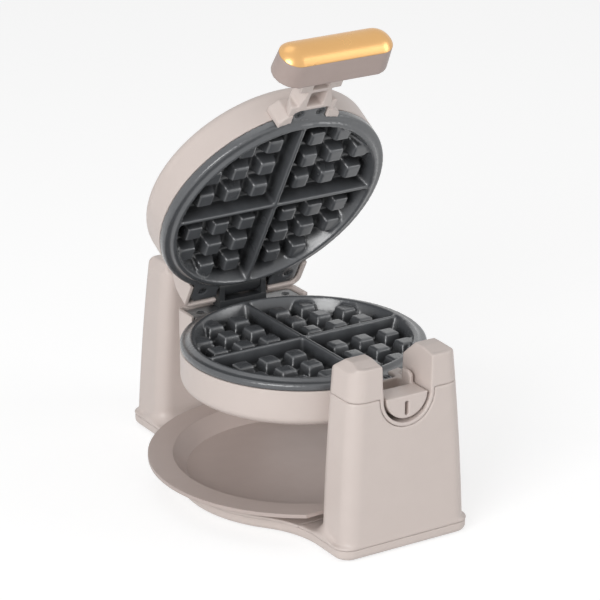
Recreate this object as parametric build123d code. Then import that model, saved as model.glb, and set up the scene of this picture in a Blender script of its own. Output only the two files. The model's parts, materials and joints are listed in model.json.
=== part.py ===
from build123d import *
import os
from math import cos, radians, sin, sqrt

# Rotating Belgian waffle maker, in millimetres. The origin is on the table, under the middle of
# the base. +Y points to the rear tower, +X to the right, +Z up.

# Places of the main axes
unit_y = -16.5
axis_z = 138.0
hinge_back = 112.0
hinge_rise = 14.0
lid_open_angle = 60.0

# Base plates
foot_height = 1.5
cover_top = 11.0
deck_top = 13.7
strip_half_width = 65.5
strip_corner_radius = 14.0
deck_radius = 111.0
deck_blend_radius = 80.0
cover_edge_radius = 5.0
cover_inset = 0.6
cover_wall = 2.2
foot_radius = 9.0
foot_inset = 20.0
deck_feet_reach = 84.0
base_screw_radius = 2.0
base_screw_head_radius = 3.6
base_screw_head_height = 1.6
base_screw_from_pad = 12.0
base_screw_from_end = 60.0
deck_screw_inset = 20.0
screw_fit = 0.05
deck_hole_skin = 0.8
base_screw_boss_radius = 4.6

# Towers
tower_half_width = 61.0
tower_middle_half_width = 57.5
tower_top_half_width = 51.5
tower_corner_radius = 13.0
tower_depth = 46.5
tower_wall = 2.6
tower_cove_radius = 12.0
foot_sink = 1.2
front_lean = 3.5
front_inner_face = 118.5
front_prong_slope_start = 156.0
front_chamfer_start = 164.0
front_top = 171.0
front_top_half_width = 44.0
front_chamfer_rise = 4.0
front_chamfer_depth = 20.0
prong_slope_depth = 16.1
prong_inner_lean = 1.0
rear_inner_face = 148.0
rear_chamfer_start = 153.5
rear_top = 163.5
rear_top_half_width = 46.0
rear_lean = 6.0
rear_chamfer_depth = 8.0
rear_top_setback = 10.0
rear_face_lean = 1.0
foot_corner_setback = 1.0
foot_flat = 6.0

# Saddle in the front tower
notch_radius = 23.6
notch_top_half_width = 25.0
cap_ring_radius = 26.8
cap_seam_z = 140.0
seam_gap = 0.25

# Rear bearing
shaft_radius = 11.0
shaft_bore_radius = 7.5
bearing_clearance = 0.05
bushing_wall = 3.0
bushing_flange_radius = 18.0
bushing_flange_thickness = 2.0
bushing_length = 20.0
ring_width = 2.0
ring_radius = 14.0
groove_depth = 1.0
shaft_flange_half_width = 22.0
shaft_flange_drop = 34.0
shaft_flange_thickness = 2.5
shaft_tail = 10.0
shaft_flange_top = -1.6
shaft_flange_corner = 6.0
shaft_start_gap = 1.2
shaft_hub_length = 3.0
shaft_end_skin = 2.0
groove_start = 0.3
ring_play = 0.1
ring_slot = 4.0
wire_hole_radius = 4.0
wire_hole_drop = 8.5
grommet_z = 42.0
grommet_radius = 7.0
grommet_bore_radius = 3.4
grommet_flange_radius = 9.5

# Housing of both halves, measured from the parting plane
unit_radius = 107.0
shell_wall = 2.8
lower_skirt = 9.2
upper_skirt = 11.4
lower_height = 42.0
upper_height = 44.0
shell_edge_radius = 9.0
heel_half_width = 60.0
heel_start = 84.0
heel_length = 118.4
heel_wall = 3.2
heel_cavity_reach = 24.0
lower_heel_edge_radius = 18.0
upper_heel_edge_radius = 32.0
lower_ear_gap = 0.8
upper_ear_gap = 1.7
fit_gap = 0.4

# Cooking plates
rim_gap = 3.0
rim_edge = 1.0
lip_gap = 0.3
lip_outer_radius = 99.0
lip_inner_radius = 95.6
well_floor_radius = 89.0
well_depth = 17.4
plate_wall = 3.5
rib_gap = 1.0
rib_top_width = 3.2
rib_base_width = 6.4
peg_gap = 4.4
peg_top_width = 13.6
peg_base_width = 20.5
peg_first = 21.0
peg_pitch = 26.5
extension_half_width = 55.0
extension_length = 113.5
extension_corner_radius = 8.0
tab_half_width = 17.0
tab_length = 119.0
tab_corner_radius = 5.0
tab_screw_x = 10.5
tab_screw_y = 111.8
extension_screw_x = 44.0
extension_screw_y = 101.0
plate_screw_radius = 1.6
plate_screw_head_radius = 3.4
plate_screw_head_depth = 2.2
plate_screw_length = 11.0
plate_screw_fit = 0.2
plate_screw_sink = 0.6
drive_length = 4.0
drive_width = 0.9
drive_depth = 1.4

# Heating
element_ring_radius = 62.0
element_tube_radius = 3.3
element_arc = 320.0
element_end_length = 3.0
element_end_step = 0.4
reflector_radius = 88.0
reflector_thickness = 0.8
reflector_gap = 0.6
reflector_rim = 5.0
thermostat_radius = 9.0
thermostat_height = 7.0
thermostat_offset = 30.0
terminal_x = 4.0
terminal_half_width = 2.5
terminal_thickness = 0.8
terminal_length = 6.0
fuse_radius = 2.2
fuse_length = 16.0
fuse_offset = 40.0

# Lid hinge
hinge_pin_radius = 3.0
hinge_ear_radius = 10.5
hinge_ear_inner = 18.8
hinge_ear_outer = 24.0
hinge_side_gap = 0.3
hinge_pocket_half_width = 27.0
hinge_pocket_radius = 14.2
hinge_arm_thickness = 7.0
pin_head_radius = 4.2
pin_head_thickness = 1.4
ear_top_gap = 0.8
wing_back_gap = 2.0
wing_pocket_gap = 1.0
barrel_step = 0.5
bracket_base_start = 101.0
knuckle_bar_front = 97.0
knuckle_bar_back = 100.9
knuckle_wing_reach = 52.0
knuckle_wing_thickness = 3.6
boss_radius = 4.2

# Front journal and lid neck, measured from the flip axis
journal_radius = 23.0
disc_radius = 20.4
journal_gap = 0.3
neck_front = 160.8
disc_back = 139.5
bracket_half_width = 30.0
bracket_front = 114.5
bracket_overlap = 0.5
bracket_shoulder = 1.5
bracket_back = 100.0
bracket_gap = 1.0
lower_bracket_depth = 20.0
upper_bracket_depth = 22.0
tab_pocket_gap = 0.5
trough_half_width = 17.0
trough_depth = 14.0
trough_back = 122.5
cradle_wall_top = 9.0
cradle_wall_outer = 20.5
cradle_wall_back = 126.8
cradle_wall_front = 134.0
slot_half_width = 1.9
slot_top = 5.5
slot_bottom = 17.6
slot_depth = 8.0
column_half_width = 13.0
column_front = 142.0
column_back = 125.4
neck_pocket_half_width = 8.0
neck_pocket_depth = 12.0
stem_radius = 15.0
journal_screw_x = 24.0
journal_screw_radius = 1.6
journal_screw_head_radius = 3.0
journal_screw_drop = 15.0
journal_screw_grip = 8.0
journal_screw_head_height = 1.7

# Handle
grip_base = 168.5
grip_cap_face = 190.5
grip_apex = 198.5
grip_base_half_length = 54.5
grip_base_height = 35.5
grip_face_half_length = 53.5
grip_face_height = 30.0
grip_wall = 3.0
grip_rise = 1.0
handle_screw_x = 7.0
handle_screw_radius = 1.8
handle_screw_head_radius = 3.4
handle_screw_length = 10.0
handle_screw_rise = 6.5
handle_screw_head_height = 2.4
handle_screw_hole = 8.0

# Lamps on the lid
lamp_radius = 3.4
lamp_spacing = 16.0
lamp_y = -84.0
lamp_stem = 5.0
lamp_dome = 0.8

# Drip tray
tray_radius = 136.5
tray_top = 30.0
tray_well_radius = 114.6
tray_floor_radius = 102.5
tray_wall = 2.0
tray_lip = 3.4
tray_seat_gap = 0.2
tray_front_cut = 117.0

base_half_length = tower_depth + front_inner_face - unit_y
notch_top_z = front_top + 10.0
cavity_margin = 40.0


def unit_frame(shape):
    """Moves a piece drawn about the middle of the cooking unit to its place over the base."""
    return Pos(0, unit_y, axis_z) * shape


def lower_half(shape):
    """Turns a half that is drawn upwards from the parting plane into the lower half."""
    return unit_frame(mirror(shape, about=Plane.XY))


def lid_half(shape):
    """Swings a half that is drawn closed about the lid hinge to the open lid."""
    hinge = Pos(0, hinge_back, hinge_rise)
    swing = hinge * Rot(X=-lid_open_angle) * Pos(0, -hinge_back, -hinge_rise)
    return unit_frame(swing * shape)


def block(x0, x1, y0, y1, z0, z1):
    """A plain box between two corners."""
    return Pos((x0 + x1) / 2, (y0 + y1) / 2, (z0 + z1) / 2) * Box(x1 - x0, y1 - y0, z1 - z0)


def rod_x(radius, x0, x1, y, z):
    """A cylinder along X."""
    return Pos((x0 + x1) / 2, y, z) * Rot(Y=90) * Cylinder(radius, x1 - x0)


def rod_y(radius, y0, y1, x=0.0, z=0.0):
    """A cylinder along Y."""
    return Pos(x, (y0 + y1) / 2, z) * Rot(X=90) * Cylinder(radius, y1 - y0)


def rod_z(radius, z0, z1, x=0.0, y=0.0):
    """An upright cylinder."""
    return Pos(x, y, (z0 + z1) / 2) * Cylinder(radius, z1 - z0)


def prism_x(points, half_width):
    """Extrudes an outline of (y, z) points along X, to both sides."""
    face = make_face(Polyline([(0, y, z) for y, z in points], close=True))
    return extrude(face, amount=half_width, dir=(1, 0, 0), both=True)


def upright_edges(shape, radius):
    """Rounds the edges that run mostly upright."""
    edges = [e for e in shape.edges() if abs(e.tangent_at(0.5).Z) > 0.8]
    return fillet(edges, radius)


# Base


def base_outline(inset=0.0):
    """Plan of the base: a disc on the unit centre, run into the feet of both towers."""
    strip = Rectangle(2 * (strip_half_width - inset), 2 * (base_half_length - inset))
    strip = fillet(strip.vertices(), strip_corner_radius - inset)
    plan = strip + Pos(0, unit_y) * Circle(deck_radius - inset)
    crossing = sqrt((deck_radius - inset)**2 - (strip_half_width - inset)**2)
    corners = [v for v in plan.vertices() if abs(abs(v.Y - unit_y) - crossing) < 1
               and abs(abs(v.X) - strip_half_width + inset) < 1]
    return fillet(corners, deck_blend_radius + inset)


def tower_sides(top_z, chamfer_z, top_half_width, inset):
    """Front outline of a tower, run along Y: curved sides and a chamfered top."""
    foot = tower_half_width - inset
    mid = tower_middle_half_width - inset
    shoulder = tower_top_half_width - inset
    top = top_half_width - inset / 2
    right = ThreePointArc((foot, cover_top), (mid, (cover_top + chamfer_z) / 2), (shoulder, chamfer_z))
    left = ThreePointArc((-shoulder, chamfer_z), (-mid, (cover_top + chamfer_z) / 2), (-foot, cover_top))
    over = Polyline((shoulder, chamfer_z), (top, top_z - inset), (-top, top_z - inset), (-shoulder, chamfer_z))
    base = Line((-foot, cover_top), (foot, cover_top))
    face = Plane.XZ * make_face(right + over + left + base)
    return extrude(face, amount=2 * base_half_length, both=True)


def front_tower_outer(inset=0.0):
    """Outer form of the front tower with its prongs still joined, or its inside by the inset."""
    front = -base_half_length + inset
    inner = unit_y - front_inner_face - inset
    lean = front_lean / axis_z
    points = [
        (front + lean * cover_top, cover_top),
        (front + lean * front_chamfer_start, front_chamfer_start + front_chamfer_rise),
        (front + front_chamfer_depth, front_top - inset),
        (unit_y - front_inner_face - prong_slope_depth - inset, front_top - inset),
        (inner + prong_inner_lean, front_prong_slope_start),
        (inner, cover_top),
    ]
    form = tower_sides(front_top, front_chamfer_start, front_top_half_width, inset)
    form = form & prism_x(points, 2 * tower_half_width)
    return upright_edges(form, tower_corner_radius - inset)


def rear_tower_outer(inset=0.0):
    """Outer form of the rear tower, or its inside by the inset."""
    rear = base_half_length - inset
    inner = unit_y + rear_inner_face + inset
    lean = rear_lean / axis_z
    points = [
        (rear - lean * cover_top, cover_top),
        (rear - lean * rear_chamfer_start, rear_chamfer_start),
        (rear - lean * rear_chamfer_start - rear_chamfer_depth, rear_top - inset),
        (inner + rear_top_setback, rear_top - inset),
        (inner + rear_face_lean, rear_chamfer_start),
        (inner, cover_top),
    ]
    form = tower_sides(rear_top, rear_chamfer_start, rear_top_half_width, inset)
    form = form & prism_x(points, 2 * tower_half_width)
    return upright_edges(form, tower_corner_radius - inset)


def tower_foot(face_y, side):
    """Concave foot of a tower on the deck: a straight cove and its turns round both corners."""
    r = tower_cove_radius
    corner = tower_half_width - tower_corner_radius - foot_corner_setback
    arc = ThreePointArc((0, r), (r - r * sin(radians(45)), r - r * cos(radians(45))), (r, 0))
    profile = make_face(arc + Polyline((r, 0), (r, -foot_sink), (0, -foot_sink), (0, r)))
    straight = extrude(Plane.YZ * profile, amount=corner, both=True)
    turned = Plane.XZ * Pos(tower_corner_radius, 0) * profile
    turn = revolve(turned, Axis.Z, 360)
    foot = straight
    for x in (-corner, corner):
        foot += Pos(x, -tower_corner_radius, 0) * turn
    foot = foot + block(-corner, corner, -tower_corner_radius, 0, -foot_sink, r)
    if side < 0:
        return Pos(0, face_y, deck_top) * foot
    return Pos(0, face_y, deck_top) * Rot(Z=180) * foot


def base_slab():
    """The deck plate over its whole plan, before it is shared between towers and deck."""
    return Pos(0, 0, cover_top) * extrude(base_outline(), amount=deck_top - cover_top)


def base_prism():
    """The plan of the base carried up past the tower feet, which trims them."""
    return Pos(0, 0, cover_top) * extrude(base_outline(), amount=4 * tower_cove_radius)


front_split = unit_y - front_inner_face + tower_cove_radius + foot_flat
rear_split = unit_y + rear_inner_face - tower_cove_radius - foot_flat


def notch_cut(extra=0.0):
    """The open-topped saddle through the front tower, round at the bottom."""
    r = notch_radius + extra
    top = notch_top_half_width + extra
    bowl = Rot(X=90) * Cylinder(r, 4 * cavity_margin)
    flare = make_face(Polyline([(-r, 0, 0), (-top, 0, notch_top_z - axis_z), (top, 0, notch_top_z - axis_z),
                                (r, 0, 0)], close=True))
    flare = extrude(flare, amount=2 * cavity_margin, dir=(0, 1, 0), both=True)
    return Pos(0, unit_y - disc_back, axis_z) * (bowl + flare)


def cap_zone(gap):
    """What belongs to the cap: all above the seam, and a ring round the saddle."""
    half = base_half_length
    above = block(-half, half, -half - cavity_margin, 0, cap_seam_z, notch_top_z + cavity_margin)
    ring = Pos(0, unit_y - disc_back, axis_z) * Rot(X=90) * Cylinder(cap_ring_radius + gap, 4 * cavity_margin)
    return above + ring


def front_tower():
    """Hollow front pedestal with its foot, under the cap."""
    slab = base_slab() & block(-200, 200, -200, front_split, 0, 200)
    foot = tower_foot(unit_y - front_inner_face, -1) & base_prism()
    shell = front_tower_outer() + slab + (foot & block(-200, 200, -200, front_split, 0, 200))
    return shell - front_tower_outer(tower_wall) - cap_zone(seam_gap) - base_screw_holes()


def front_tower_cap():
    """Two prongs and the saddle ring, a hollow cap with its own wall round the notch."""
    outer = (front_tower_outer() & cap_zone(0.0)) - notch_cut()
    hollow = front_tower_outer(tower_wall) - notch_cut(tower_wall)
    return outer - hollow


def rear_tower():
    """Hollow rear pedestal with its foot, bored for the bushing and the grommet."""
    slab = base_slab() & block(-200, 200, rear_split, 200, 0, 200)
    foot = tower_foot(unit_y + rear_inner_face, 1) & base_prism()
    shell = rear_tower_outer() + slab + (foot & block(-200, 200, rear_split, 200, 0, 200))
    shell = shell - rear_tower_outer(tower_wall)
    seat = unit_y + rear_inner_face
    boss_radius = shaft_radius + bearing_clearance + bushing_wall
    shell += rod_y(boss_radius + tower_wall, seat + tower_wall - 0.5, seat + bushing_length - 2, z=axis_z)
    shell -= rod_y(boss_radius, seat - 5, seat + bushing_length + 5, z=axis_z)
    shell -= rod_y(grommet_radius, base_half_length - 15, base_half_length + 5, z=grommet_z)
    return shell - base_screw_holes()


def base_deck():
    """Round deck between the towers, which the tray stands on."""
    deck = base_slab() & block(-200, 200, front_split, rear_split, 0, 200)
    return deck - base_screw_holes()


def bottom_cover():
    """Tray-shaped cover under the whole base, rounded at the floor."""
    body = Pos(0, 0, foot_height) * extrude(base_outline(cover_inset), amount=cover_top - foot_height)
    body = fillet(body.faces().sort_by(Axis.Z)[0].edges(), cover_edge_radius)
    hollow = extrude(base_outline(cover_inset + cover_wall), amount=cover_top)
    hollow = Pos(0, 0, foot_height + cover_wall) * hollow
    cover = body - hollow
    for x, y in screw_places():
        cover += rod_z(base_screw_boss_radius, foot_height + cover_wall / 2, cover_top, x, y)
        cover -= rod_z(base_screw_radius, 0, cover_top + 5, x, y)
        cover -= rod_z(base_screw_head_radius, 0, foot_height + cover_wall, x, y)
    return cover


def screw_places():
    """Six places for screws through the bottom cover: four near the towers, two under the deck."""
    x_far = tower_half_width - foot_inset - base_screw_from_pad
    y_far = base_half_length - base_screw_from_end
    return [(-x_far, -y_far), (x_far, -y_far), (-x_far, y_far), (x_far, y_far),
            (-deck_feet_reach + deck_screw_inset, unit_y), (deck_feet_reach - deck_screw_inset, unit_y)]


def base_screw_holes():
    """Blind holes of the base screws in what stands on the cover."""
    holes = [rod_z(base_screw_radius - seam_gap, 0, deck_top - deck_hole_skin, x, y) for x, y in screw_places()]
    return holes[0] + holes[1:]


def base_screws():
    """Six screws, heads up inside their counterbores in the cover."""
    group = []
    head_bottom = foot_height + cover_wall - base_screw_head_height
    for x, y in screw_places():
        screw = rod_z(base_screw_head_radius - seam_gap, head_bottom, foot_height + cover_wall - screw_fit, x, y)
        screw += rod_z(base_screw_radius - seam_gap - screw_fit, head_bottom,
                       deck_top - deck_hole_skin - seam_gap, x, y)
        group.append(screw)
    return Compound(children=group)


def rubber_feet():
    """Six soft pads under the cover."""
    x_far = tower_half_width - foot_inset
    y_far = base_half_length - foot_inset
    places = [(-x_far, -y_far), (x_far, -y_far), (-x_far, y_far), (x_far, y_far),
              (-deck_feet_reach, unit_y), (deck_feet_reach, unit_y)]
    return Compound(children=[rod_z(foot_radius, 0, foot_height, x, y) for x, y in places])


def rear_bushing():
    """Flanged plain bearing of the rear shaft."""
    seat = unit_y + rear_inner_face
    outer = shaft_radius + bearing_clearance + bushing_wall
    body = rod_y(outer, seat, seat + bushing_length, z=axis_z)
    body += rod_y(bushing_flange_radius, seat - bushing_flange_thickness, seat, z=axis_z)
    return body - rod_y(shaft_radius + bearing_clearance, seat - 10, seat + bushing_length + 10, z=axis_z)


def cord_grommet():
    """Gland in the back of the rear tower where a cord would enter."""
    back = base_half_length - rear_lean / axis_z * grommet_z
    body = rod_y(grommet_radius - 0.1, back - tower_wall - 2, back, z=grommet_z)
    body += rod_y(grommet_flange_radius, back, base_half_length, z=grommet_z)
    body -= rod_y(grommet_bore_radius, back - 20, back + 20, z=grommet_z)
    sleeve = rod_y(grommet_radius - 0.1, back - tower_wall - 2, back + 1, z=grommet_z)
    sleeve -= rod_y(grommet_bore_radius, back - 20, back + 20, z=grommet_z)
    return body - rear_tower_outer() + sleeve


# Housing halves, drawn upwards from the parting plane


def shell_form(skirt, height, ear_gap, heel_edge, inset):
    """Solid form of a half shell: a drum with a straight heel block behind it."""
    r = unit_radius - inset
    top = height - inset
    drum = rod_z(r, skirt, top)
    drum = fillet(drum.faces().sort_by(Axis.Z)[-1].edges(), shell_edge_radius - inset)
    wide = heel_half_width - (heel_wall if inset else 0.0)
    start = heel_start if not inset else heel_start - heel_cavity_reach
    heel = block(-wide, wide, start, heel_length - (heel_wall if inset else 0.0), ear_gap, top)
    rear = [e for e in heel.edges() if abs(e.center().Y - (heel_length - (heel_wall if inset else 0))) < 0.1
            and abs(e.center().Z - top) < 0.1]
    heel = fillet(rear, heel_edge - inset)
    sides = [e for e in heel.faces().sort_by(Axis.Z)[-1].edges() if abs(e.center().X) > wide - 1]
    heel = fillet(sides, shell_edge_radius - inset)
    if not inset:
        heel -= rod_z(r + fit_gap, -5, skirt)
        return drum + heel
    return drum + heel + rod_z(r, -5, skirt + 1) + block(-wide, wide, start, heel_length - heel_wall, -5, ear_gap + 1)


def half_shell(skirt, height, ear_gap, heel_edge):
    """Thin shell of one half."""
    outer = shell_form(skirt, height, ear_gap, heel_edge, 0.0)
    return outer - shell_form(skirt, height, ear_gap, heel_edge, shell_wall)


def well_cone(extra):
    """The space of the cooking well."""
    height = well_depth - lip_gap
    cone = Cone(lip_inner_radius + extra, well_floor_radius + extra, height)
    return Pos(0, 0, lip_gap + height / 2) * cone


def waffle_grid():
    """Cross ribs and four quadrants of square pegs, clipped by the wall of the well."""
    sink = well_depth + 0.5
    reach = 2 * unit_radius
    along = loft([Pos(0, 0, sink) * Rectangle(reach, rib_base_width),
                  Pos(0, 0, rib_gap) * Rectangle(reach, rib_top_width)])
    grid = along + Rot(Z=90) * along
    places = [peg_first + i * peg_pitch for i in range(3)]
    pegs = []
    for px in places:
        for py in places:
            if px + py > places[2] + places[1] + 1:
                continue
            for sx in (-1, 1):
                for sy in (-1, 1):
                    spot = Pos(sx * px, sy * py, 0)
                    pegs.append(loft([spot * Pos(0, 0, sink) * Rectangle(peg_base_width, peg_base_width),
                                      spot * Pos(0, 0, peg_gap) * Rectangle(peg_top_width, peg_top_width)]))
    clip = well_cone(0.5) + rod_z(well_floor_radius, well_depth - 1, sink)
    return (grid + pegs) & clip


def cooking_plate(skirt, hinge_pocket):
    """Cast plate: skirt, rim, sealing lip, well and grid, with a front tab and a rear extension."""
    floor = well_depth + plate_wall
    under = rim_gap + plate_wall
    inner_wall = unit_radius - shell_wall
    profile = [
        (0, well_depth), (well_floor_radius, well_depth), (lip_inner_radius, lip_gap),
        (lip_outer_radius, lip_gap), (lip_outer_radius + 1.5, rim_gap), (unit_radius - rim_edge, rim_gap),
        (unit_radius, rim_gap + rim_edge), (unit_radius, skirt), (inner_wall, skirt), (inner_wall, under),
        (lip_outer_radius - 0.5, under), (well_floor_radius + plate_wall, floor), (0, floor),
    ]
    face = make_face(Polyline([(r, 0, z) for r, z in profile], close=True))
    plate = revolve(face, Axis.Z)
    ledge = Pos(0, (extension_length + heel_start) / 2 - 7, rim_gap) * extrude(
        Rectangle(2 * extension_half_width, extension_length - heel_start + 14), amount=skirt - rim_gap)
    corners = [e for e in ledge.edges() if abs(e.tangent_at(0.5).Z) > 0.9 and e.center().Y > heel_start + 10]
    ledge = fillet(corners, extension_corner_radius)
    ledge -= rod_z(lip_outer_radius + 1, -5, 50)
    tab = block(-tab_half_width, tab_half_width, -tab_length, -unit_radius + 6, rim_gap, lower_skirt - 0.2)
    corners = [e for e in tab.edges() if abs(e.tangent_at(0.5).Z) > 0.9 and e.center().Y < -unit_radius]
    tab = fillet(corners, tab_corner_radius)
    plate = plate + ledge + tab + waffle_grid()
    if hinge_pocket:
        plate -= block(-hinge_pocket_half_width, hinge_pocket_half_width, hinge_back - hinge_pocket_radius,
                       hinge_back + 30, 0, 30)
    for x, y in plate_screw_places():
        plate -= rod_z(plate_screw_head_radius + plate_screw_fit, 0, rim_gap + plate_screw_head_depth, x, y)
        plate -= rod_z(plate_screw_radius + plate_screw_fit, 0, 30, x, y)
    return plate


def plate_screw_places():
    """Two screws on the front tab and two on the rear extension."""
    return [(-tab_screw_x, -tab_screw_y), (tab_screw_x, -tab_screw_y),
            (-extension_screw_x, extension_screw_y), (extension_screw_x, extension_screw_y)]


def plate_screws():
    """The four plate screws, with crossed drives."""
    group = []
    for x, y in plate_screw_places():
        head_low = rim_gap + plate_screw_head_depth
        screw = rod_z(plate_screw_head_radius, rim_gap + plate_screw_sink, head_low, x, y)
        screw += rod_z(plate_screw_radius, rim_gap + plate_screw_sink, rim_gap + plate_screw_length, x, y)
        for turn in (0, 90):
            screw -= Pos(x, y, rim_gap + plate_screw_sink) * Rot(Z=turn) * Box(drive_length, drive_width, drive_depth)
        group.append(screw)
    return Compound(children=group)


def element_end(side):
    """Where one end of the ring heater turns away from the plate."""
    back = element_tube_radius / element_ring_radius
    turn = radians(90) + side * (radians(360 - element_arc) / 2 + back)
    return element_ring_radius * cos(turn), element_ring_radius * sin(turn)


def heating_element():
    """Tubular ring under the plate, with both ends turned away from it."""
    level = well_depth + plate_wall + element_tube_radius + 0.05
    section = Pos(element_ring_radius, 0, level) * Rot(X=90) * Circle(element_tube_radius)
    ring = Rot(Z=90 + (360 - element_arc) / 2) * revolve(section, Axis.Z, element_arc)
    for side in (-1, 1):
        x, y = element_end(side)
        ring += rod_z(element_tube_radius - element_end_step, level,
                      level + element_tube_radius + element_end_length, x, y)
    return ring


def heat_reflector():
    """Thin dish that throws the heat back to the plate, bored for the element ends."""
    level = well_depth + plate_wall + 2 * element_tube_radius + reflector_gap
    dish = rod_z(reflector_radius, level - reflector_rim, level + reflector_thickness)
    dish -= rod_z(reflector_radius - reflector_thickness, level - 10, level)
    for side in (-1, 1):
        x, y = element_end(side)
        dish -= rod_z(element_tube_radius + element_end_step, 0, 60, x, y)
    return dish - rod_z(thermostat_radius + 1, 0, 60, 0, -thermostat_offset)


def thermostat():
    """Disc thermostat on the back of the plate."""
    level = well_depth + plate_wall
    body = rod_z(thermostat_radius, level, level + thermostat_height, 0, -thermostat_offset)
    top = level + thermostat_height
    for x in (-terminal_x, terminal_x):
        body += block(x - terminal_thickness / 2, x + terminal_thickness / 2, -thermostat_offset - terminal_half_width,
                      -thermostat_offset + terminal_half_width, top, top + terminal_length)
    return body


def thermal_fuse():
    """Cartridge fuse that lies on the reflector's plate side."""
    level = well_depth + plate_wall
    return rod_x(fuse_radius, -fuse_length / 2, fuse_length / 2, fuse_offset, level + fuse_radius)


# Hinge of the lid, drawn about the unit


def hinge_bracket():
    """Fixed ears of the lid hinge on a foot that stands on the lower plate's extension."""
    foot_top = hinge_rise - hinge_ear_radius - ear_top_gap
    foot = block(-hinge_ear_outer, hinge_ear_outer, bracket_base_start, hinge_back + hinge_ear_radius,
                 -rim_gap, foot_top)
    above_heel = block(-200, 200, 0, 200, hinge_side_gap - lower_ear_gap, 50)
    foot &= block(-200, 200, 0, extension_length, -50, 50) + above_heel
    bracket = foot
    for side in (-1, 1):
        x0, x1 = sorted((side * hinge_ear_inner, side * hinge_ear_outer))
        ear = rod_x(hinge_ear_radius, x0, x1, hinge_back, hinge_rise)
        ear += block(x0, x1, hinge_back - hinge_ear_radius, hinge_back + hinge_ear_radius, 0, hinge_rise)
        bracket += ear
    return bracket - rod_x(hinge_pin_radius, -60, 60, hinge_back, hinge_rise)


def hinge_pin():
    """Pin of the lid hinge, headed at both ends."""
    reach = hinge_ear_outer + pin_head_thickness
    pin = rod_x(hinge_pin_radius, -reach, reach, hinge_back, hinge_rise)
    for side in (-1, 1):
        x0, x1 = sorted((side * (hinge_ear_outer + 0.05), side * reach))
        pin += rod_x(pin_head_radius, x0, x1, hinge_back, hinge_rise)
    return pin


def lid_knuckle():
    """Moving barrel of the hinge, its arm, and the cross bar with wings that carry the lid."""
    half = hinge_ear_inner - hinge_side_gap
    barrel = rod_x(hinge_ear_radius - barrel_step, -half, half, hinge_back, hinge_rise)
    low = upper_skirt + seam_gap
    arm = block(-half, half, knuckle_bar_front, hinge_back, low, low + hinge_arm_thickness)
    reach = extension_screw_x - boss_radius - 2 * wing_pocket_gap
    bar = block(-reach, reach, knuckle_bar_front, knuckle_bar_back, low, low + hinge_arm_thickness)
    knuckle = barrel + arm + bar
    for side in (-1, 1):
        x0, x1 = sorted((side * (hinge_pocket_half_width + wing_pocket_gap), side * knuckle_wing_reach))
        knuckle += block(x0, x1, knuckle_bar_front, extension_length - wing_back_gap,
                         low, low + knuckle_wing_thickness)
        knuckle -= rod_z(plate_screw_radius + plate_screw_fit, 0, 60, side * extension_screw_x, extension_screw_y)
    return knuckle - rod_x(hinge_pin_radius + bearing_clearance, -60, 60, hinge_back, hinge_rise)


def lid_hinge_pocket():
    """Space in the lid's heel for the ears and the barrel."""
    y0 = hinge_back - hinge_pocket_radius
    return block(-hinge_pocket_half_width, hinge_pocket_half_width, y0, hinge_back + 30, -5,
                 hinge_rise + hinge_pocket_radius)


# Front journal and lid neck, drawn about the unit


def drum_face(inset=0.15):
    """The round shell and plate, which the brackets are shaped to."""
    return rod_z(unit_radius + inset, -80, 80)


def tab_pocket(sign):
    """Room for the plate's front tab in a bracket."""
    x = tab_half_width + tab_pocket_gap
    depth = lower_skirt
    z0, z1 = sorted((-sign * 20, sign * depth))
    pocket = block(-x, x, -tab_length - tab_pocket_gap, -bracket_back, z0, z1)
    corners = [e for e in pocket.edges() if abs(e.tangent_at(0.5).Z) > 0.9 and e.center().Y < -bracket_back - 5]
    return fillet(corners, tab_corner_radius)


def bracket_block(sign, depth):
    """Wide shoulder of a neck against the shell, narrowing to the journal's radius."""
    z0, z1 = sorted((sign * bracket_gap, sign * depth))
    plan = make_face(Polyline([
        (-bracket_half_width, -bracket_back), (-bracket_half_width, -unit_radius - bracket_shoulder),
        (-journal_radius + 1, -bracket_front - bracket_overlap),
        (journal_radius - 1, -bracket_front - bracket_overlap),
        (bracket_half_width, -unit_radius - bracket_shoulder), (bracket_half_width, -bracket_back)], close=True))
    return Pos(0, 0, z0) * extrude(plan, amount=z1 - z0) - drum_face()


def front_journal():
    """Lower neck: bracket round the tab, cradle for the lid's neck, and the half disc."""
    half_plane = block(-200, 200, -250, 0, -80, -bracket_gap)
    tube = rod_y(journal_radius, -disc_back, -bracket_front) & half_plane
    disc = rod_y(disc_radius, -neck_front, -disc_back + journal_gap)
    neck = tube + (disc & block(-200, 200, -250, 0, -80, -journal_gap))
    walls = block(-cradle_wall_outer, cradle_wall_outer, -disc_back, -cradle_wall_back,
                  -trough_depth, cradle_wall_top)
    front_edge = [e for e in walls.edges() if abs(e.center().Y + disc_back) < 0.1
                  and abs(e.center().Z - cradle_wall_top) < 0.1]
    walls = fillet(front_edge, disc_back - cradle_wall_front)
    neck = neck + (walls & rod_y(journal_radius, -disc_back, -bracket_front))
    neck -= block(-trough_half_width, trough_half_width, -disc_back, -trough_back, -trough_depth, 60)
    neck += bracket_block(-1, lower_bracket_depth)
    neck -= tab_pocket(-1)
    slot = block(-slot_half_width, slot_half_width, -neck_front - 1, -neck_front + slot_depth,
                 -slot_bottom, -slot_top)
    neck -= slot
    for x, y in plate_screw_places()[:2]:
        neck -= rod_z(plate_screw_radius + plate_screw_fit, -30, 0, x, y)
    for x in (-journal_screw_x, journal_screw_x):
        neck -= rod_y(journal_screw_radius + plate_screw_fit / 2, -unit_radius - 6.5, 0, x, -journal_screw_drop)
    return neck - drum_face()


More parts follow.
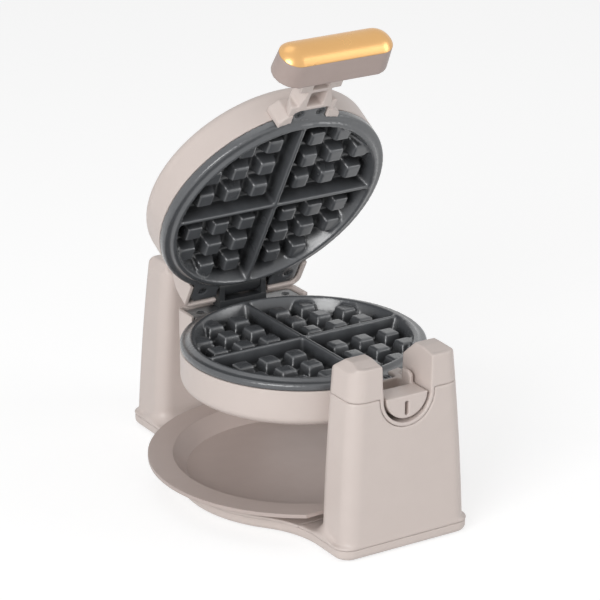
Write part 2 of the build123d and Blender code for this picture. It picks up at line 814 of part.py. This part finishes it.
def journal_screws():
    """Two screws from inside the lower shell into the neck."""
    group = []
    for x in (-journal_screw_x, journal_screw_x):
        wall = -sqrt((unit_radius - shell_wall)**2 - (abs(x) + journal_screw_head_radius)**2)
        end = wall + journal_screw_head_height
        screw = rod_y(journal_screw_radius, wall - journal_screw_grip, end, x, -journal_screw_drop)
        screw += rod_y(journal_screw_head_radius, wall + screw_fit, end, x, -journal_screw_drop)
        group.append(screw)
    return Compound(children=group)


def upper_neck():
    """Upper neck in one: bracket, column and the half disc that closes the journal, with its stem."""
    upper = block(-200, 200, -250, 0, journal_gap, 80)
    collar = rod_y(disc_radius, -neck_front, -column_front) & upper
    column = make_face(Polyline([
        (-column_half_width + 2, -column_front - 1), (-trough_half_width + 1, -column_back - 3),
        (-trough_half_width + 1, -bracket_front), (trough_half_width - 1, -bracket_front),
        (trough_half_width - 1, -column_back - 3), (column_half_width - 2, -column_front - 1)], close=True))
    column = Pos(0, 0, journal_gap) * extrude(column, amount=journal_radius)
    shoulder = block(-journal_radius, journal_radius, -column_back, -bracket_front, bracket_gap, 80)
    neck = collar + ((column + shoulder) & rod_y(journal_radius, -neck_front, -bracket_front))
    neck += bracket_block(1, upper_bracket_depth)
    neck += rod_y(stem_radius, -grip_base, -neck_front) & upper
    pockets = ((-neck_front + 3, -column_front - 1.5), (-column_front + 2.5, -column_back + 2))
    for y0, y1 in pockets:
        neck -= block(-neck_pocket_half_width, neck_pocket_half_width, y0, y1, -5, neck_pocket_depth)
    neck -= tab_pocket(1)
    for x, y in plate_screw_places()[:2]:
        neck -= rod_z(plate_screw_radius + plate_screw_fit, 0, 30, x, y)
    for x in (-handle_screw_x, handle_screw_x):
        neck -= rod_y(handle_screw_radius + plate_screw_fit / 2, -grip_base - 1, -grip_base + handle_screw_hole,
                      x, handle_screw_rise)
    return neck - drum_face()


def lid_neck():
    """What lies in the saddle when the lid is closed, with the stem of the handle."""
    return upper_neck() & block(-200, 200, -250, -bracket_front - bracket_overlap, -80, 80)


def lid_bracket():
    """Wide shoulder that carries the neck and is screwed to the plate's front tab."""
    return upper_neck() & block(-200, 200, -bracket_front - bracket_overlap, 0, -80, 80)


# Handle, drawn about the unit


def stadium(half_length, height):
    """Rounded bar outline that faces forwards."""
    return SlotOverall(2 * half_length, height)


def grip_level(y, half_length, height, inset=0.0):
    """A stadium at one distance in front of the unit."""
    plane = Plane(origin=(0, -y, grip_rise), x_dir=(1, 0, 0), z_dir=(0, -1, 0))
    return plane * stadium(half_length - inset, height - 2 * inset)


def handle_grip():
    """Tapered cross handle, open towards its cap."""
    form = loft([grip_level(grip_base, grip_base_half_length, grip_base_height),
                 grip_level(grip_cap_face, grip_face_half_length, grip_face_height)])
    hollow = loft([grip_level(grip_base + grip_wall, grip_base_half_length, grip_base_height, grip_wall),
                   grip_level(grip_cap_face + 0.5, grip_face_half_length, grip_face_height, grip_wall)])
    grip = form - hollow
    for x in (-handle_screw_x, handle_screw_x):
        grip -= rod_y(handle_screw_radius + plate_screw_fit, -grip_base - grip_wall - 1, -grip_base + 1,
                      x, handle_screw_rise)
    return grip


def handle_cap():
    """Pillow-shaped face of the handle: a slice of a rod that ends in slices of balls."""
    half = grip_face_height / 2
    rise = grip_apex - grip_cap_face
    dome_radius = (half**2 + rise**2) / (2 * rise)
    middle = grip_face_half_length - half
    centre = -grip_apex + dome_radius
    dome = rod_x(dome_radius, -middle, middle, centre, grip_rise)
    for x in (-middle, middle):
        dome += Pos(x, centre, grip_rise) * Sphere(dome_radius)
    return dome & block(-200, 200, -grip_apex - 1, -grip_cap_face, -50, 50)


def handle_screws():
    """Two screws from inside the grip into the stem."""
    group = []
    for x in (-handle_screw_x, handle_screw_x):
        seat = -grip_base - grip_wall
        screw = rod_y(handle_screw_radius, seat - 1.0, seat + handle_screw_length, x, handle_screw_rise)
        screw += rod_y(handle_screw_head_radius, seat - handle_screw_head_height, seat - screw_fit,
                       x, handle_screw_rise)
        group.append(screw)
    return Compound(children=group)


def ready_lights():
    """Two lamps set in the top of the lid."""
    group = []
    for x in (-lamp_spacing / 2, lamp_spacing / 2):
        group.append(rod_z(lamp_radius, upper_height - lamp_stem, upper_height + lamp_dome, x, lamp_y))
    return Compound(children=group)


def shell_hull(skirt, height, ear_gap, heel_edge):
    """Outer form of a half shell, which trims what is built inside it."""
    return shell_form(skirt, height, ear_gap, heel_edge, 0.0)


def screw_bosses(start, height):
    """Posts in a shell that take the two rear plate screws."""
    posts = []
    for x, y in plate_screw_places()[2:]:
        post = rod_z(boss_radius, start + seam_gap, height, x, y)
        posts.append(post - rod_z(plate_screw_radius + plate_screw_fit / 2, 0, rim_gap + plate_screw_length + 1, x, y))
    return posts


def lid_shell():
    """Upper shell, open at the heel for the hinge and bored for the lamps."""
    shell = half_shell(upper_skirt, upper_height, upper_ear_gap, upper_heel_edge_radius)
    start = upper_skirt + knuckle_wing_thickness + seam_gap
    shell = shell + screw_bosses(start, upper_height) & shell_hull(upper_skirt, upper_height, upper_ear_gap,
                                                                   upper_heel_edge_radius)
    shell -= lid_hinge_pocket()
    for x in (-lamp_spacing / 2, lamp_spacing / 2):
        shell -= rod_z(lamp_radius + 0.05, upper_height - 10, upper_height + 5, x, lamp_y)
    return shell


def lower_shell():
    """Lower shell, bored for the journal screws and the wires of the rear shaft."""
    shell = half_shell(lower_skirt, lower_height, lower_ear_gap, lower_heel_edge_radius)
    for x in (-journal_screw_x, journal_screw_x):
        shell -= rod_y(journal_screw_radius + plate_screw_fit / 2, -unit_radius - 5, -unit_radius + 25,
                       x, journal_screw_drop)
    shell = shell + screw_bosses(lower_skirt, lower_height) & shell_hull(lower_skirt, lower_height, lower_ear_gap,
                                                                       lower_heel_edge_radius)
    return shell - rod_y(wire_hole_radius, heel_length - 8, heel_length + 5, 0, wire_hole_drop)


# Rear shaft, drawn about the unit


def rear_shaft():
    """Hollow shaft with the flange that is screwed to the lower shell's heel."""
    wall = heel_length + 0.1
    back = wall + shaft_flange_thickness
    tail = rear_inner_face + bushing_length + ring_width + shaft_tail
    flange = block(-shaft_flange_half_width, shaft_flange_half_width, wall, back, -shaft_flange_drop,
                   shaft_flange_top)
    corners = [e for e in flange.edges() if abs(e.tangent_at(0.5).Y) > 0.9 and e.center().Z < 0]
    flange = fillet(corners, shaft_flange_corner)
    start = hinge_back + hinge_ear_radius + shaft_start_gap
    hub = rod_y(ring_radius, back - 0.5, start + shaft_hub_length) & block(-50, 50, 0, 200, -50, shaft_flange_top)
    shaft = flange + hub + rod_y(shaft_radius, start, tail)
    groove = rear_inner_face + bushing_length + groove_start
    shaft -= rod_y(shaft_radius + 1, groove, groove + ring_width + 2 * ring_play) - rod_y(
        shaft_radius - groove_depth, groove - 1, groove + ring_width + 1)
    shaft -= rod_y(shaft_bore_radius, start + shaft_end_skin, tail + 5)
    return shaft - rod_y(wire_hole_radius, wall - 5, start + 2 * shaft_end_skin, 0, -wire_hole_drop)


def shaft_retaining_ring():
    """Split ring in the shaft's groove, inside the rear tower."""
    groove = rear_inner_face + bushing_length + groove_start + ring_play
    ring = rod_y(ring_radius, groove, groove + ring_width)
    ring -= rod_y(shaft_radius - groove_depth + ring_play, groove - 1, groove + ring_width + 1)
    return ring - block(-ring_slot / 2, ring_slot / 2, groove - 1, groove + ring_width + 1, 0, 30)


# Drip tray


def drip_tray():
    """Round tray with a wide rim and a turned edge, cut straight beside the front tower."""
    floor = deck_top + tray_seat_gap
    t = tray_wall
    profile = [
        (0, floor), (tray_floor_radius + 1, floor), (tray_well_radius + 1, tray_top - t),
        (tray_radius - t, tray_top - t), (tray_radius - t, tray_top - tray_lip), (tray_radius, tray_top - tray_lip),
        (tray_radius, tray_top), (tray_well_radius, tray_top), (tray_floor_radius, floor + t), (0, floor + t),
    ]
    face = make_face(Polyline([(r, 0, z) for r, z in profile], close=True))
    tray = revolve(face, Axis.Z) & block(-200, 200, -tray_front_cut, 200, 0, 60)
    edge = rod_z(tray_radius, tray_top - tray_lip, tray_top) & block(
        -200, 200, -tray_front_cut, -tray_front_cut + t, 0, 60)
    return Pos(0, unit_y, 0) * (tray + edge)


parts = {
    "base_deck": base_deck(),
    "front_tower": front_tower(),
    "front_tower_cap": front_tower_cap(),
    "rear_tower": rear_tower(),
    "bottom_cover": bottom_cover(),
    "rubber_feet": rubber_feet(),
    "base_screws": base_screws(),
    "rear_bushing": rear_bushing(),
    "cord_grommet": cord_grommet(),
    "lower_shell": lower_half(lower_shell()),
    "lower_cooking_plate": lower_half(cooking_plate(lower_skirt, False)),
    "lower_plate_screws": lower_half(plate_screws()),
    "lower_heating_element": lower_half(heating_element()),
    "lower_heat_reflector": lower_half(heat_reflector()),
    "lower_thermostat": lower_half(thermostat()),
    "thermal_fuse": lower_half(thermal_fuse()),
    "front_journal": unit_frame(front_journal()),
    "journal_screws": unit_frame(journal_screws()),
    "rear_shaft": unit_frame(rear_shaft()),
    "shaft_retaining_ring": unit_frame(shaft_retaining_ring()),
    "hinge_bracket": unit_frame(hinge_bracket()),
    "hinge_pin": unit_frame(hinge_pin()),
    "lid_shell": lid_half(lid_shell()),
    "upper_cooking_plate": lid_half(cooking_plate(upper_skirt, True)),
    "upper_plate_screws": lid_half(plate_screws()),
    "upper_heating_element": lid_half(heating_element()),
    "upper_heat_reflector": lid_half(heat_reflector()),
    "upper_thermostat": lid_half(thermostat()),
    "lid_knuckle": lid_half(lid_knuckle()),
    "lid_neck": lid_half(lid_neck()),
    "lid_bracket": lid_half(lid_bracket()),
    "handle_grip": lid_half(handle_grip()),
    "handle_cap": lid_half(handle_cap()),
    "handle_screws": lid_half(handle_screws()),
    "ready_lights": lid_half(ready_lights()),
    "drip_tray": drip_tray(),
}

os.makedirs("parts", exist_ok=True)
for name, shape in parts.items():
    export_step(shape, f"parts/{name}.step")
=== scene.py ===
import json

import bmesh
import bpy
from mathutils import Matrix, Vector


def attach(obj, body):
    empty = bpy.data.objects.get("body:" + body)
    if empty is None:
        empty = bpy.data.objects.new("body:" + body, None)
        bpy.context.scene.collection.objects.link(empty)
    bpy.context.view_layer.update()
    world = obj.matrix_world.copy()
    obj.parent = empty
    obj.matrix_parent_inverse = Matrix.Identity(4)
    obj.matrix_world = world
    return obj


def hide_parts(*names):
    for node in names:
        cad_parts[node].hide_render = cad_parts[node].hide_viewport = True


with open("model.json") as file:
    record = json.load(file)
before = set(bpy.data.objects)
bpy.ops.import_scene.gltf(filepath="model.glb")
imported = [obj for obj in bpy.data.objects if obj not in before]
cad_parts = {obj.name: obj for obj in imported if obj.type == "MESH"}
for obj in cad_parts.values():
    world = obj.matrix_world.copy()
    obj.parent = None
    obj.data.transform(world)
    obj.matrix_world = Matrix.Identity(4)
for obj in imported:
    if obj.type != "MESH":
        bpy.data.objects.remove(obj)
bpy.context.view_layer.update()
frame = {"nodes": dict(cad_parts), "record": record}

MM = 0.001

# Studio
CAMERA_TARGET = Vector((-3.57, -16.5, 170.9)) * MM
CAMERA_BACK = Vector((-0.4963, -0.7929, 0.3535))
CAMERA_DISTANCE = 2.570
CAMERA_LENS = 179.16
SENSOR = 36.0
CAMERA_FAR = 60.0
FLOOR_HALF = 14.0
FLOOR_DROP = 0.2 * MM
FLOOR_TONE = 0.8
SEEN_FLOOR_TONE = 0.42
SEEN_FLOOR_GLOW = 0.72
ROOM_LIGHT = 0.30

# Place, width and power of each softbox
SOFTBOXES = {
    "key_softbox": ((-2.3, -1.5, 1.15), 1.5, 58.0),
    "fill_softbox": ((2.2, -1.9, 1.0), 1.6, 26.0),
    "top_softbox": ((-0.3, 0.5, 2.4), 1.4, 5.0),
}

# Finishes: scales of the patterns per metre, depths of the bumps, and shares
MOTTLE_SCALE = 55.0
GRAIN_SCALE = 1800.0
LINE_SCALE = 900.0
CLOUD_SCALE = 35.0
LINE_STRETCH = 0.02
GRAIN_DEPTH = 0.2 * MM
LINE_DEPTH = 0.1 * MM
COAT_ROUGHNESS = 0.25
# Ambient occlusion at which the painted shade in recesses is darkest, and at which it ends
PAINTED_SHADE_DARKEST = 0.25
PAINTED_SHADE_CLEAR = 0.85

# Rounded copies
MERGE_DISTANCE = 0.01 * MM
SMOOTHING = 0.5


def colour(red, green, blue):
    """A screen colour of 0 to 255 as the linear colour that a shader takes."""
    linear = []
    for value in (red, green, blue):
        value = value / 255
        linear.append(value / 12.92 if value <= 0.04045 else ((value + 0.055) / 1.055) ** 2.4)
    return (*linear, 1.0)


# Shader groups that several finishes share


def new_group(name, inputs, outputs):
    """An empty shader group with number inputs and number outputs."""
    group = bpy.data.node_groups.new(name, "ShaderNodeTree")
    for label, value in inputs:
        socket = group.interface.new_socket(name=label, in_out="INPUT", socket_type="NodeSocketFloat")
        socket.default_value = value
    for label in outputs:
        group.interface.new_socket(name=label, in_out="OUTPUT", socket_type="NodeSocketFloat")
    return group, group.nodes.new("NodeGroupInput"), group.nodes.new("NodeGroupOutput")


def noise(tree, place, scale, detail, roughness=0.5):
    """A noise texture on the given coordinates."""
    node = tree.nodes.new("ShaderNodeTexNoise")
    node.inputs["Scale"].default_value = scale
    node.inputs["Detail"].default_value = detail
    node.inputs["Roughness"].default_value = roughness
    tree.links.new(place, node.inputs["Vector"])
    return node


def moulded_grain():
    """Fine spark-eroded grain of a moulding tool, with a slow mottle of the polish."""
    group, inner, outer = new_group("moulded_grain",
                                    [("Grain Scale", GRAIN_SCALE), ("Mottle Scale", MOTTLE_SCALE)],
                                    ["Grain", "Mottle"])
    place = group.nodes.new("ShaderNodeTexCoord").outputs["Object"]
    for label, detail in (("Grain", 3.0), ("Mottle", 2.0)):
        texture = noise(group, place, 1.0, detail)
        group.links.new(inner.outputs[label + " Scale"], texture.inputs["Scale"])
        group.links.new(texture.outputs["Fac"], outer.inputs[label])
    return group


def brushed_lines():
    """Long fine scratches along one axis of turned or rolled metal."""
    group, inner, outer = new_group("brushed_lines", [("Line Scale", LINE_SCALE)], ["Lines"])
    place = group.nodes.new("ShaderNodeTexCoord").outputs["Object"]
    stretch = group.nodes.new("ShaderNodeMapping")
    stretch.inputs["Scale"].default_value = (1.0, LINE_STRETCH, 1.0)
    group.links.new(place, stretch.inputs["Vector"])
    texture = noise(group, stretch.outputs["Vector"], 1.0, 4.0, 0.7)
    group.links.new(inner.outputs["Line Scale"], texture.inputs["Scale"])
    group.links.new(texture.outputs["Fac"], outer.inputs["Lines"])
    return group


def soft_dust():
    """Faint settled haze that gathers on faces that look upwards."""
    group, inner, outer = new_group("soft_dust", [("Amount", 0.1)], ["Haze"])
    up = group.nodes.new("ShaderNodeSeparateXYZ")
    group.links.new(group.nodes.new("ShaderNodeNewGeometry").outputs["Normal"], up.inputs["Vector"])
    place = group.nodes.new("ShaderNodeTexCoord").outputs["Object"]
    cloud = noise(group, place, CLOUD_SCALE, 5.0, 0.65)
    facing = group.nodes.new("ShaderNodeMapRange")
    group.links.new(up.outputs["Z"], facing.inputs["Value"])
    facing.inputs["From Min"].default_value = 0.3
    product = group.nodes.new("ShaderNodeMath")
    product.operation = "MULTIPLY"
    group.links.new(facing.outputs["Result"], product.inputs[0])
    group.links.new(cloud.outputs["Fac"], product.inputs[1])
    share = group.nodes.new("ShaderNodeMath")
    share.operation = "MULTIPLY"
    group.links.new(product.outputs["Value"], share.inputs[0])
    group.links.new(inner.outputs["Amount"], share.inputs[1])
    group.links.new(share.outputs["Value"], outer.inputs["Haze"])
    return group


GRAIN = moulded_grain()
LINES = brushed_lines()
DUST = soft_dust()


# Finishes


def place_group(tree, group, **values):
    """One use of a shader group with its own values."""
    node = tree.nodes.new("ShaderNodeGroup")
    node.node_tree = group
    for label, value in values.items():
        node.inputs[label.replace("_", " ")].default_value = value
    return node


def between(tree, factor, low, high):
    """A number that moves from low to high with a mask."""
    node = tree.nodes.new("ShaderNodeMapRange")
    tree.links.new(factor, node.inputs["Value"])
    node.inputs["From Min"].default_value = 0.25
    node.inputs["From Max"].default_value = 0.75
    node.inputs["To Min"].default_value = low
    node.inputs["To Max"].default_value = high
    return node.outputs["Result"]


def tint(tree, factor, first, second):
    """A colour that moves from the first to the second with a mask."""
    node = tree.nodes.new("ShaderNodeMix")
    node.data_type = "RGBA"
    tree.links.new(factor, node.inputs["Factor"])
    node.inputs["A"].default_value = first
    node.inputs["B"].default_value = second
    return node.outputs["Result"]


def bumped(tree, height, strength, distance, edge_radius=0.0):
    """A bump from a height, over a softly rounded edge where a radius is given."""
    bump = tree.nodes.new("ShaderNodeBump")
    bump.inputs["Strength"].default_value = strength
    bump.inputs["Distance"].default_value = distance
    tree.links.new(height, bump.inputs["Height"])
    if edge_radius:
        edge = tree.nodes.new("ShaderNodeBevel")
        edge.samples = 6
        edge.inputs["Radius"].default_value = edge_radius
        tree.links.new(edge.outputs["Normal"], bump.inputs["Normal"])
    return bump.outputs["Normal"]


def finish_material(name):
    """A node material with its Principled shader."""
    material = bpy.data.materials.new(name)
    material.use_nodes = True
    tree = material.node_tree
    return material, tree, tree.nodes["Principled BSDF"]


def painted_hollow_shade(tree, base, reach, shade_colour):
    """Painted shade: darkens a colour in narrow recesses, found by ambient occlusion, towards a dark shade
    colour.
    """
    hollow = tree.nodes.new("ShaderNodeAmbientOcclusion")
    hollow.samples = 8
    hollow.inputs["Distance"].default_value = reach
    share = tree.nodes.new("ShaderNodeMapRange")
    tree.links.new(hollow.outputs["AO"], share.inputs["Value"])
    share.inputs["From Min"].default_value = PAINTED_SHADE_DARKEST
    share.inputs["From Max"].default_value = PAINTED_SHADE_CLEAR
    mixed = tree.nodes.new("ShaderNodeMix")
    mixed.data_type = "RGBA"
    tree.links.new(share.outputs["Result"], mixed.inputs["Factor"])
    mixed.inputs["A"].default_value = shade_colour
    tree.links.new(base, mixed.inputs["B"])
    return mixed.outputs["Result"]


def moulded(name, light, deep, rough_low, rough_high, grain=0.25, edge_radius=0.0, dust=0.06, specular=0.5,
            coat=0.0, grain_scale=GRAIN_SCALE, metal=0.0, hollow_shade=None):
    """Moulded or coated surface: mottled colour, grain, haze, painted shade in recesses and soft edges."""
    material, tree, shader = finish_material(name)
    surface = place_group(tree, GRAIN, Grain_Scale=grain_scale, Mottle_Scale=MOTTLE_SCALE)
    haze = place_group(tree, DUST, Amount=dust)
    base = tint(tree, between(tree, surface.outputs["Mottle"], 0.0, 1.0), light, deep)
    # Painted shade: the colour is darkened in recesses where a reach and a dark colour are given
    if hollow_shade:
        base = painted_hollow_shade(tree, base, *hollow_shade)
    dusty = tree.nodes.new("ShaderNodeMix")
    dusty.data_type = "RGBA"
    tree.links.new(haze.outputs["Haze"], dusty.inputs["Factor"])
    tree.links.new(base, dusty.inputs["A"])
    dusty.inputs["B"].default_value = colour(205, 202, 198)
    tree.links.new(dusty.outputs["Result"], shader.inputs["Base Color"])
    rough = between(tree, surface.outputs["Mottle"], rough_low, rough_high)
    tree.links.new(rough, shader.inputs["Roughness"])
    normal = bumped(tree, surface.outputs["Grain"], grain, GRAIN_DEPTH, edge_radius)
    tree.links.new(normal, shader.inputs["Normal"])
    shader.inputs["Specular IOR Level"].default_value = specular
    shader.inputs["Metallic"].default_value = metal
    shader.inputs["Coat Weight"].default_value = coat
    shader.inputs["Coat Roughness"].default_value = COAT_ROUGHNESS
    return material


def metal(name, light, deep, rough_low, rough_high, lines=0.15, edge_radius=0.0):
    """Plain metal with fine lines."""
    material, tree, shader = finish_material(name)
    scratch = place_group(tree, LINES, Line_Scale=LINE_SCALE)
    tree.links.new(tint(tree, scratch.outputs["Lines"], light, deep), shader.inputs["Base Color"])
    tree.links.new(between(tree, scratch.outputs["Lines"], rough_low, rough_high), shader.inputs["Roughness"])
    normal = bumped(tree, scratch.outputs["Lines"], lines, LINE_DEPTH, edge_radius)
    tree.links.new(normal, shader.inputs["Normal"])
    shader.inputs["Metallic"].default_value = 1.0
    return material


HOUSING = moulded("taupe_housing", colour(207, 195, 189), colour(205, 193, 187), 0.40, 0.44, grain=0.12,
                  edge_radius=0.0018, dust=0.0)
# The tray's taupe is darker than the housing's: painted shade for the shadow the cooker casts on it
SHADED_TRAY = moulded("shaded_taupe_tray", colour(186, 172, 166), colour(184, 170, 164), 0.40, 0.46, grain=0.12,
               edge_radius=0.0008, dust=0.0)
# The grip's taupe is darker than the housing's: painted shade for its downward-facing side
SHADED_GRIP = moulded("shaded_taupe_grip", colour(168, 152, 146), colour(165, 149, 143), 0.40, 0.46, grain=0.12,
               edge_radius=0.0012, dust=0.0)
# Its last entry darkens the wells between the pegs towards near-black by ambient occlusion: painted shade for
# their shadows
PLATE = moulded("nonstick_plate", colour(84, 86, 89), colour(78, 80, 83), 0.22, 0.28, grain=0.3,
                edge_radius=0.0006, dust=0.0, specular=0.6, coat=0.35, grain_scale=2600.0,
                hollow_shade=(0.016, colour(22, 22, 23)))
GOLD = moulded("satin_gold", colour(226, 178, 116), colour(223, 174, 112), 0.26, 0.32, grain=0.05,
               edge_radius=0.0008, dust=0.0, metal=0.6)
DARK_STEEL = moulded("dark_hinge_steel", colour(50, 52, 54), colour(44, 46, 48), 0.32, 0.42, grain=0.3,
                     edge_radius=0.0006, dust=0.0)
RUBBER = moulded("foot_rubber", colour(92, 88, 86), colour(80, 77, 75), 0.75, 0.88, grain=0.6, dust=0.1)
BEARING = moulded("acetal_bearing", colour(222, 220, 210), colour(214, 211, 201), 0.4, 0.5, dust=0.02)
CONTROL = moulded("phenolic_control", colour(40, 36, 34), colour(33, 30, 28), 0.35, 0.5, dust=0.02)
LAMP = moulded("lamp_lens", colour(196, 74, 52), colour(182, 62, 42), 0.12, 0.2, grain=0.05, dust=0.0,
               coat=0.6)
STEEL = metal("screw_steel", colour(176, 176, 178), colour(150, 150, 152), 0.22, 0.36, edge_radius=0.0003)
HEATER = metal("heater_sheath", colour(112, 106, 100), colour(84, 80, 78), 0.45, 0.6)
REFLECTOR = metal("bright_sheet", colour(212, 212, 214), colour(196, 196, 198), 0.2, 0.32)

FINISHES = {
    "housing": HOUSING, "plate": PLATE, "gold": GOLD, "steel": STEEL, "dark_steel": DARK_STEEL,
    "heater": HEATER, "reflector": REFLECTOR, "rubber": RUBBER, "bearing": BEARING, "control": CONTROL,
    "lamp": LAMP,
}
# The darker taupe copies for the tray and the grip are painted shade
SHADED_COPY_FINISH = {"drip_tray": SHADED_TRAY, "handle_grip": SHADED_GRIP}
SLOT_OF = {part["node"]: part["material_slot"] for part in frame["record"]["subparts"]}
BODIES = frame["record"]["behaviour"]["bodies"]
BODY_OF = {name: body for body, names in BODIES.items() for name in names}


def finish_of(name):
    """The finish of a CAD piece."""
    return SHADED_COPY_FINISH.get(name) or FINISHES[SLOT_OF[name]]


for name, node in frame["nodes"].items():
    for holder in node.material_slots:
        holder.material = finish_of(name)


# Moulded and cast pieces with their edges rounded: millimetres of the grid, and rounds of smoothing
SOFTENED = {
    "front_tower": (1.3, 2), "front_tower_cap": (0.7, 4), "rear_tower": (1.3, 4),
    "handle_grip": (0.8, 6), "lid_neck": (0.8, 4), "lid_bracket": (0.8, 3), "front_journal": (0.7, 3),
    "upper_cooking_plate": (1.35, 3), "lower_cooking_plate": (1.35, 3),
}


def softened(name, grid, rounds):
    """A copy of a CAD piece whose edges are rounded as a mould or a casting leaves them."""
    work = bmesh.new()
    work.from_mesh(frame["nodes"][name].data)
    bmesh.ops.remove_doubles(work, verts=work.verts, dist=MERGE_DISTANCE)
    mesh = bpy.data.meshes.new("soft_" + name)
    work.to_mesh(mesh)
    work.free()
    mesh.materials.append(finish_of(name))
    piece = bpy.data.objects.new("soft_" + name, mesh)
    bpy.context.scene.collection.objects.link(piece)
    skin = piece.modifiers.new("skin", "REMESH")
    skin.mode = "VOXEL"
    skin.voxel_size = grid * MM
    skin.use_smooth_shade = True
    rounding = piece.modifiers.new("rounding", "SMOOTH")
    rounding.factor = SMOOTHING
    rounding.iterations = rounds
    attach(piece, BODY_OF[name])
    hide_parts(name)


for name, (grid, rounds) in SOFTENED.items():
    softened(name, grid, rounds)


# Studio: floor, lamps, world and camera


def background_share(tree):
    """1 where the eye, a reflection or a view through glass meets the backdrop itself."""
    path = tree.nodes.new("ShaderNodeLightPath")
    total = path.outputs["Is Camera Ray"]
    for ray in ("Is Glossy Ray", "Is Transmission Ray"):
        most = tree.nodes.new("ShaderNodeMath")
        most.operation = "MAXIMUM"
        tree.links.new(total, most.inputs[0])
        tree.links.new(path.outputs[ray], most.inputs[1])
        total = most.outputs["Value"]
    return total


def studio_floor():
    """White sheet that keeps the soft shadow of the object."""
    sheet = bmesh.new()
    bmesh.ops.create_grid(sheet, x_segments=1, y_segments=1, size=FLOOR_HALF)
    mesh = bpy.data.meshes.new("studio_floor")
    sheet.to_mesh(mesh)
    sheet.free()
    floor = bpy.data.objects.new("studio_floor", mesh)
    bpy.context.scene.collection.objects.link(floor)
    floor.location.z = -FLOOR_DROP
    material = bpy.data.materials.new("studio_white")
    material.use_nodes = True
    tree = material.node_tree
    tree.nodes.remove(tree.nodes["Principled BSDF"])
    plain = tree.nodes.new("ShaderNodeBsdfDiffuse")
    plain.inputs["Color"].default_value = (FLOOR_TONE, FLOOR_TONE, FLOOR_TONE, 1)
    half = tree.nodes.new("ShaderNodeBsdfDiffuse")
    half.inputs["Color"].default_value = (SEEN_FLOOR_TONE, SEEN_FLOOR_TONE, SEEN_FLOOR_TONE, 1)
    glow = tree.nodes.new("ShaderNodeEmission")
    glow.inputs["Strength"].default_value = SEEN_FLOOR_GLOW
    seen = tree.nodes.new("ShaderNodeAddShader")
    tree.links.new(half.outputs[0], seen.inputs[0])
    tree.links.new(glow.outputs[0], seen.inputs[1])
    chosen = tree.nodes.new("ShaderNodeMixShader")
    tree.links.new(background_share(tree), chosen.inputs[0])
    tree.links.new(plain.outputs[0], chosen.inputs[1])
    tree.links.new(seen.outputs[0], chosen.inputs[2])
    tree.links.new(chosen.outputs[0], tree.nodes["Material Output"].inputs["Surface"])
    mesh.materials.append(material)


def studio_world():
    """Even pale room light, white where it is seen."""
    world = bpy.data.worlds.new("studio")
    bpy.context.scene.world = world
    world.use_nodes = True
    tree = world.node_tree
    room = tree.nodes["Background"]
    room.inputs["Color"].default_value = (1, 1, 1, 1)
    room.inputs["Strength"].default_value = ROOM_LIGHT
    shown = tree.nodes.new("ShaderNodeBackground")
    shown.inputs["Color"].default_value = (1, 1, 1, 1)
    chosen = tree.nodes.new("ShaderNodeMixShader")
    tree.links.new(background_share(tree), chosen.inputs[0])
    tree.links.new(room.outputs[0], chosen.inputs[1])
    tree.links.new(shown.outputs[0], chosen.inputs[2])
    tree.links.new(chosen.outputs[0], tree.nodes["World Output"].inputs["Surface"])


def softbox(name, place, size, power):
    """Square area lamp that looks at the object."""
    lamp = bpy.data.lights.new(name, "AREA")
    lamp.size = size
    lamp.energy = power
    holder = bpy.data.objects.new(name, lamp)
    holder.location = place
    holder.rotation_euler = (CAMERA_TARGET - Vector(place)).to_track_quat("-Z", "Y").to_euler()
    bpy.context.scene.collection.objects.link(holder)


def studio_camera():
    """Camera at the photograph's viewing angle."""
    camera = bpy.data.cameras.new("camera")
    camera.sensor_width = SENSOR
    camera.lens = CAMERA_LENS
    camera.clip_end = CAMERA_FAR
    holder = bpy.data.objects.new("camera", camera)
    holder.location = CAMERA_TARGET + CAMERA_BACK.normalized() * CAMERA_DISTANCE
    holder.rotation_euler = (-CAMERA_BACK).to_track_quat("-Z", "Y").to_euler()
    bpy.context.scene.collection.objects.link(holder)
    bpy.context.scene.camera = holder


studio_floor()
studio_world()
for name, (place, size, power) in SOFTBOXES.items():
    softbox(name, place, size, power)
studio_camera()
bpy.context.scene.view_settings.view_transform = "Standard"
